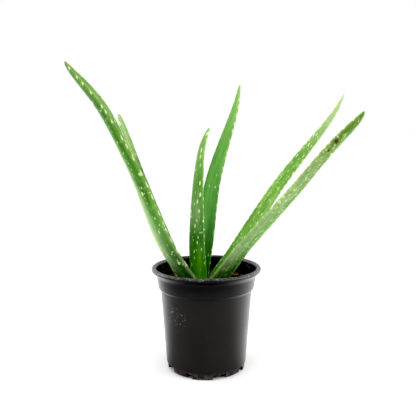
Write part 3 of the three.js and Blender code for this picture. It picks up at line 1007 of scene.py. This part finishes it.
# The path is a smooth curve through its points, with the pace of a centripetal spline.
def makePath(name, points):
    points = [Vector(point) * mm for point in points]
    ends = [points[0] * 2 - points[1], *points, points[-1] * 2 - points[-2]]
    data = bpy.data.curves.new(name, "CURVE")
    data.dimensions = "3D"
    data.resolution_u = 32
    spline = data.splines.new("BEZIER")
    spline.bezier_points.add(len(points) - 1)
    for knot, point in zip(spline.bezier_points, points):
        knot.co = knot.handle_left = knot.handle_right = point
        knot.handle_left_type = knot.handle_right_type = "FREE"
    for i in range(len(points) - 1):
        before, start, end, after = ends[i:i + 4]
        first, middle, last = [math.sqrt((b - a).length)
                               for a, b in ((before, start), (start, end), (end, after))]
        leave = (start - before) / first - (end - before) / (first + middle) + (end - start) / middle
        reach = (end - start) / middle - (after - start) / (middle + last) + (after - end) / last
        spline.bezier_points[i].handle_right = start + leave * middle / 3
        spline.bezier_points[i + 1].handle_left = end - reach * middle / 3
    return addPiece(name, data)


faceNames = "Face at Foot, Face at Tip"
courseNames = "Bend Length, Clasp Length, Clasp Flare, Width, Taper, Neck, Blunt, Tip Power, Tip Point"


# The leaf's course at a share of its length: where it is, its own directions and how wide it is.
def makeCourseGroup():
    tree, given, result = newGroup(
        "leafCourse", "GeometryNodeTree",
        {"Geometry": "Path", "Vector": faceNames, "Float": "Along, " + courseNames},
        {"Vector": "Point, Ahead, Inward, Across", "Float": "Half Width, Fullness, Clasping, Distance"})
    along = given["Along"]
    distance = along * shapeOf(tree, "CurveLength", {0: given["Path"]})
    sample = addNode(tree, "GeometryNodeSampleCurve", {"Curves": given["Path"], "Factor": along},
                     mode="FACTOR", use_all_curves=True)
    ahead = mixVector(smooth(distance, 0.0, given["Bend Length"]), (0, 0, 1), sample.outputs["Tangent"])
    ahead = vectorCalc("NORMALIZE", ahead)
    face = mixVector(along, given["Face at Foot"], given["Face at Tip"])
    tilt = scaled(ahead, vectorCalc("DOT_PRODUCT", face, ahead))
    inward = vectorCalc("NORMALIZE", vectorCalc("SUBTRACT", face, tilt))
    body = (1 - given["Blunt"]) * (1 - along ** given["Taper"])
    rounded = calc("MAXIMUM", 1 - along ** given["Tip Power"], 0.0)
    tip = given["Blunt"] * rounded ** given["Tip Point"]
    neck = 1 - given["Neck"] * calc("MAXIMUM", 1 - along / 0.3, 0.0) ** 2.0
    clasping = 1 - smooth(distance, 0.0, given["Clasp Length"])
    half = given["Width"] / 2 * (body + tip) * neck * (1 + given["Clasp Flare"] * clasping)
    fullness = calc("SQRT", calc("MINIMUM", half * 2 / given["Width"], 1.0))
    fill(result, {
        "Point": sample.outputs["Position"], "Ahead": ahead, "Inward": inward,
        "Across": vectorCalc("CROSS_PRODUCT", inward, ahead), "Half Width": half,
        "Fullness": fullness, "Clasping": clasping, "Distance": distance})
    return tree


def makeLeafTree():
    section = "Thick, Channel, Lip, Clasp Bend, Uneven, "
    tooth = "Tooth Pitch, Tooth Height, Tooth Length, Tooth Thickness, Tooth Lean, "
    tree, given, result = newGroup("aloeLeaf", "GeometryNodeTree", {
        "Geometry": "Geometry", "Object": "Path", "Int": "Rows, Around, Seed", "Vector": faceNames,
        "Float": section + tooth + courseNames, "Material": "Skin, Horn"}, {"Geometry": "Geometry"})
    path = addNode(tree, "GeometryNodeObjectInfo", {"Object": given["Path"]}).outputs["Geometry"]
    shared = {name: given[name] for name in f"{faceNames}, {courseNames}".split(", ")}

    def courseAt(along):
        return placeGroup(courseGroup, {"Path": path, "Along": along, **shared}, "Geometry")

    def moved(start, *shifts):
        for direction, amount in shifts:
            start = vectorCalc("ADD", start, scaled(direction, amount))
        return start

    # The teeth stand in two rows, one on each margin.
    length = shapeOf(tree, "CurveLength", {0: path})
    index = shapeOf(tree, "InputIndex")
    side = calc("MODULO", index, 2.0) * 2 - 1
    first, last, tipGap = 14 * mm, 5 * mm, 4 * mm
    count = calc("FLOOR", (length - (first + last)) / given["Tooth Pitch"]) + 1
    slide = flowOf(tree, "FunctionNodeRandomValue", {2: -0.36, 3: 0.36, "Seed": given["Seed"]}, 1)
    number = calc("FLOOR", index / 2) + side * 0.2 + slide
    toothDistance = calc("MINIMUM", first + number * given["Tooth Pitch"], length - tipGap)
    root = courseAt(toothDistance / length)
    sink = given["Tooth Thickness"] * 0.5
    rootPlace = moved(root["Point"], (root["Across"], side * (root["Half Width"] - sink)),
                      (root["Inward"], given["Tooth Thickness"] * -0.42))
    points = shapeOf(tree, "Points", {"Count": count * 2, "Position": rootPlace})
    position = shapeOf(tree, "InputPosition")
    spike = shapeOf(tree, "MeshCone", {
        "Vertices": 10, "Side Segments": 4, "Radius Top": 0.0, "Radius Bottom": 0.5, "Depth": 1.0})
    x, y, z = separated(position)
    hooked = combined(x * (1 - 0.25 * z) + 0.42 * z * z, y, z)
    spike = shapeOf(tree, "SetPosition", {"Geometry": spike, "Position": hooked})
    outward = scaled(root["Across"], side)
    turn = flowOf(tree, "FunctionNodeAxesToRotation", {0: outward, 1: root["Ahead"]},
                  primary_axis="Z", secondary_axis="X")
    vary = flowOf(tree, "FunctionNodeRandomValue", {2: 0.75, 3: 1.2, "Seed": given["Seed"] + 5}, 1)
    young = 0.5 + 0.5 * smooth(toothDistance, 15 * mm, 70 * mm)
    grown = vary * (0.25 + 0.75 * root["Fullness"]) * young
    grown = grown * (1 - abs(given["Tooth Lean"]) + side * given["Tooth Lean"])
    size = combined(given["Tooth Length"] * grown, given["Tooth Thickness"] * grown,
                    (given["Tooth Height"] + sink) * grown)
    teeth = shapeOf(tree, "InstanceOnPoints", {
        "Points": points, "Instance": spike, "Rotation": turn, "Scale": size})
    teeth = shapeOf(tree, "SetMaterial", {
        0: shapeOf(tree, "RealizeInstances", {0: teeth}), "Material": given["Horn"]})

    # The blade is a cone bent along the path, with a rounded back and a channelled inner face.
    cone = shapeOf(tree, "MeshCone", {
        "Vertices": given["Around"], "Side Segments": given["Rows"], "Radius Top": 0.0, "Radius Bottom": 1.0,
        "Depth": 1.0}, fill_type="TRIANGLE_FAN")
    start = 1 - calc("MINIMUM", calc("MAXIMUM", z, 0.0), 1.0)
    along = 1 - start ** 1.25
    angle = calc("ARCTAN2", y, x)
    sine = calc("SINE", angle)
    across = calc("COSINE", angle)
    here = courseAt(along)
    thick = given["Thick"] * here["Fullness"]
    rest = 1 - across * across
    steep = abs(sine)
    innerDeep = given["Channel"] * thick * rest - given["Lip"] * here["Fullness"] * steep ** 0.8
    outerDeep = thick * steep ** 0.9
    isInner = calc("GREATER_THAN", sine, 0.0)
    uneven = (noiseOf(here["Point"], 70.0, 2.0) - 0.5) * 2 * given["Uneven"] * here["Fullness"]
    deep = outerDeep + isInner * (innerDeep - outerDeep) + uneven
    deep = deep + here["Clasping"] * given["Clasp Bend"] * here["Half Width"] * rest
    swing = (noiseOf(scaled(here["Point"], 1.7), 50.0, 1.0) - 0.5) * 2 * given["Uneven"]
    ring = moved(here["Point"], (here["Across"], across * here["Half Width"] + swing * here["Fullness"]),
                 (here["Inward"], deep * -1))
    isCentre = calc("LESS_THAN", x * x + y * y, 1e-8) * calc("LESS_THAN", z, 0.5)
    middle = moved(here["Point"], (here["Inward"], given["Thick"] * -0.5))
    bladeMesh = storeNamed(cone, "leafPlace", combined(
        here["Distance"], across * here["Half Width"], smooth(sine, -0.12, 0.12)))
    bladeMesh = storeNamed(bladeMesh, "leafShare", combined(along, across, here["Clasping"]))
    bladeMesh = shapeOf(tree, "SetPosition", {
        "Geometry": bladeMesh, "Position": mixVector(isCentre, ring, middle)})
    toRoot = vectorCalc("SUBTRACT", shapeOf(
        tree, "Proximity", {0: points}, 0, target_element="POINTS"), position)
    lengthways = vectorCalc("DOT_PRODUCT", toRoot, here["Ahead"])
    near = vectorCalc("DOT_PRODUCT", toRoot, toRoot) - lengthways * lengthways * 0.9
    near = calc("SQRT", calc("MAXIMUM", near, 0.0))
    bladeMesh = storeNamed(bladeMesh, "toothNear", near, "FLOAT")
    bladeMesh = shapeOf(tree, "SetMaterial", {0: bladeMesh, "Material": given["Skin"]})
    joined = addNode(tree, "GeometryNodeJoinGeometry", {})
    feed(joined.inputs[0], bladeMesh)
    feed(joined.inputs[0], teeth)
    fill(result, {"Geometry": joined.outputs[0]})
    return tree


courseGroup = makeCourseGroup()
leafTree = makeLeafTree()


# Pale flecks, longer than wide, that lie along the leaf. The vector is the place on the leaf in metres.
def makeFlecksGroup():
    group, given, result = newGroup(
        "leafFlecks", "ShaderNodeTree", {"Vector": "Vector", "Float": "Length, Width, Share, Seed"},
        {"Float": "Mask"})
    x, y, z = separated(given["Vector"])
    wander = noiseOf(given["Vector"], 520.0, 2.0) - 0.5
    place = combined(x / (given["Length"] * mm) + wander * 0.35, y / (given["Width"] * mm) + wander * 0.45,
                     z * 3 + given["Seed"])
    cells = addNode(group, "ShaderNodeTexVoronoi", {"Vector": place, "Scale": 1.0, "Randomness": 0.9})
    chance, size, tone = separated(Flow(group, cells.outputs["Color"]))
    present = calc("LESS_THAN", chance, given["Share"])
    radius = 0.17 + 0.15 * size
    mask = smooth(Flow(group, cells.outputs["Distance"]), radius * 1.15, radius * 0.75)
    fill(result, {"Mask": mask * present * (0.7 + 0.3 * tone)})
    return group


flecks = makeFlecksGroup()


# Tints and colours that the skins of all leaves share.
skinTones = {
    "fleck": (0.68, 0.83, 0.36, 1),
    "toothPatch": (0.6, 0.74, 0.34, 1),
    # The pale tint of bands is painted sheen, partly wax bloom; shade is the tint of painted shade.
    "waxAndSheen": (0.44, 0.61, 0.29, 1),
    "shade": (0.38, 0.52, 0.3, 1),
    "blotch": (0.38, 0.56, 0.2, 1),
    "margin": (0.42, 0.6, 0.13, 1),
    "fibreDark": (0.42, 0.58, 0.38, 1),
    "fibreLight": (1.6, 1.4, 1.4, 1),
}


# The sizes of fleck, with their length and width and how pale they are.
fleckSizes = [("spots", 8.0, 2.3, 0.9), ("dots", 5.6, 2.0, 0.75), ("specks", 3.4, 1.7, 0.55)]


# A skin has a colour for each face and place along the leaf, long fibres, paler bands of painted sheen and
# darker bands of painted shade, painted shade toward the foot, blotches, flecks, a pale patch at each tooth,
# pale margins and a few old scars.
def makeSkin(name, leaf, seed):
    material, tree, shader = newMaterial(name)
    distance, lateral, inner = separated(attribute(tree, "leafPlace"))
    along, across, _ = separated(attribute(tree, "leafShare"))
    place = combined(distance, lateral, inner * 3 * mm + seed * 11 * mm)
    colour = mixColour(inner, ramp(along, leaf["outer"]), ramp(along, leaf["inner"]))
    fine = placeGroup(streaks, {"Vector": place, "Scale": 1100.0, "Stretch": 16.0})["Value"]
    broad = placeGroup(streaks, {"Vector": place, "Scale": 420.0, "Stretch": 9.0})["Value"]
    fibres = smooth(fine * 0.45 + broad * 0.55, 0.36, 0.64)
    fibreTint = mixColour(fibres, skinTones["fibreDark"], skinTones["fibreLight"])
    strength = (1 - 0.6 * smooth(along, 0.75, 0.95)) * leaf["streaks"] * 0.8
    colour = tinted(strength, colour, fibreTint)
    for face, centre, reach, start, end, amount in leaf["bands"]:
        off = abs(across - centre)
        mask = smooth(off + (broad - 0.5) * 0.5, reach, reach * 0.15)
        mask = mask * smooth(along, start - 0.1, start + 0.1) * smooth(along, end + 0.1, end - 0.1)
        mask = mask * (inner if face else 1 - inner) * abs(amount)
        # Paler bands are painted sheen, partly wax bloom; darker bands are painted shade.
        if amount > 0:
            colour = mixColour(mask * (0.5 + 0.7 * fibres), colour, skinTones["waxAndSheen"])
        else:
            colour = tinted(mask, colour, skinTones["shade"])
    # Painted shade: the leaf darkens toward its foot, deep in the pot.
    foot = smooth(distance, 45 * mm, 4 * mm)
    colour = tinted(foot * leaf["foot"], colour, skinTones["shade"])
    stretched = combined(distance * 0.45, lateral, inner * 5 * mm + seed)
    cloud = noiseOf(stretched, 330.0, 4.0, 0.65)
    blotches = smooth(cloud, 0.52, 0.66)
    colour = mixColour(blotches * (1 - 0.6 * foot) * leaf["mottle"], colour, skinTones["blotch"])
    rim = smooth(abs(across), 0.92, 1.0)
    colour = mixColour(rim * leaf["edge"], colour, skinTones["margin"])
    speckled = (1 - inner * leaf.get("clear", 0)) * (1 - 0.65 * smooth(along, 0.76, 0.9))
    speckled = speckled * (1 - 0.7 * foot)
    if "bare" in leaf:
        centre, reach, end, gain = leaf["bare"]
        side = smooth(abs(across - centre), reach - 0.12, reach + 0.06)
        upper = smooth(along, end - 0.1, end + 0.1)
        speckled = speckled * (0.25 + 0.75 * upper + (gain - 0.25) * side * (1 - upper))
    for layer, (kind, length, width, amount) in enumerate(fleckSizes):
        spot = placeGroup(flecks, {
            "Vector": place, "Length": length, "Width": width, "Share": speckled * leaf[kind],
            "Seed": leaf["scatter"] + layer * 3.0})["Mask"]
        colour = mixColour(spot * (1 - 0.85 * foot) * amount, colour, skinTones["fleck"])
    halo = smooth(attribute(tree, "toothNear", "Fac"), leaf["teeth"] * 1.15 * mm, leaf["teeth"] * 0.7 * mm)
    nearMargin = smooth(across * leaf["shape"]["Tooth Lean"], -0.07, 0.07)
    halo = halo * (1 - foot * 0.8) * (0.3 + 0.7 * nearMargin)
    colour = mixColour(halo * 0.85, colour, skinTones["toothPatch"])
    for face, markAlong, markAcross, size, stain in leaf.get("marks", []):
        sideways = (across - markAcross) * 8
        lengthways = (along - markAlong) * 240
        away = calc("SQRT", sideways * sideways + lengthways * lengthways * 0.4) + (cloud - 0.5) * 3
        mark = smooth(away, size, size * 0.5) * (inner if face else 1 - inner)
        colour = mixColour(mark * 0.9, colour, stain)
    texture = placeGroup(grain, {"Vector": objectPlace(tree), "Scale": 2600.0, "Waves": 300.0})
    fill(shader, {
        "Base Color": colour,
        "Roughness": 0.36 + texture["Blotch"] * 0.12 + blotches * 0.1,
        "Normal": relief(texture["Height"] * 0.5 + fibres * 0.5, 0.12),
        "Specular IOR Level": 0.2,
        "Subsurface Weight": 0.12,
        "Subsurface Radius": (0.6, 1.0, 0.25),
        "Subsurface Scale": 2.0 * mm,
    })
    return material


def makeHorn():
    material, tree, shader = newMaterial("toothHorn")
    cloudy = smooth(noiseOf(objectPlace(tree), 700.0), 0.35, 0.65)
    fill(shader, {"Base Color": mixColour(cloudy, (0.62, 0.66, 0.4, 1), (0.8, 0.78, 0.56, 1))})
    return material


def makeLeaves():
    horn = makeHorn()
    for number, (name, leaf) in enumerate(leaves.items()):
        path = makePath(name + "Path", leaf["path"])
        skin = makeSkin(name + "Skin", leaf, number * 7)
        piece = runTree(leafTree, name, {**blade, **leaf["shape"], "Path": path, "Skin": skin, "Horn": horn})
        bpy.data.objects.remove(path)
        smoothShaded(piece.data, 70)
        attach(piece, "root")
        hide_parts(leaf["node"])
        print(name, len(piece.data.polygons), "faces")


makeLeaves()

[[list(corner) for corner in box] for box in (cadBox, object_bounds())]
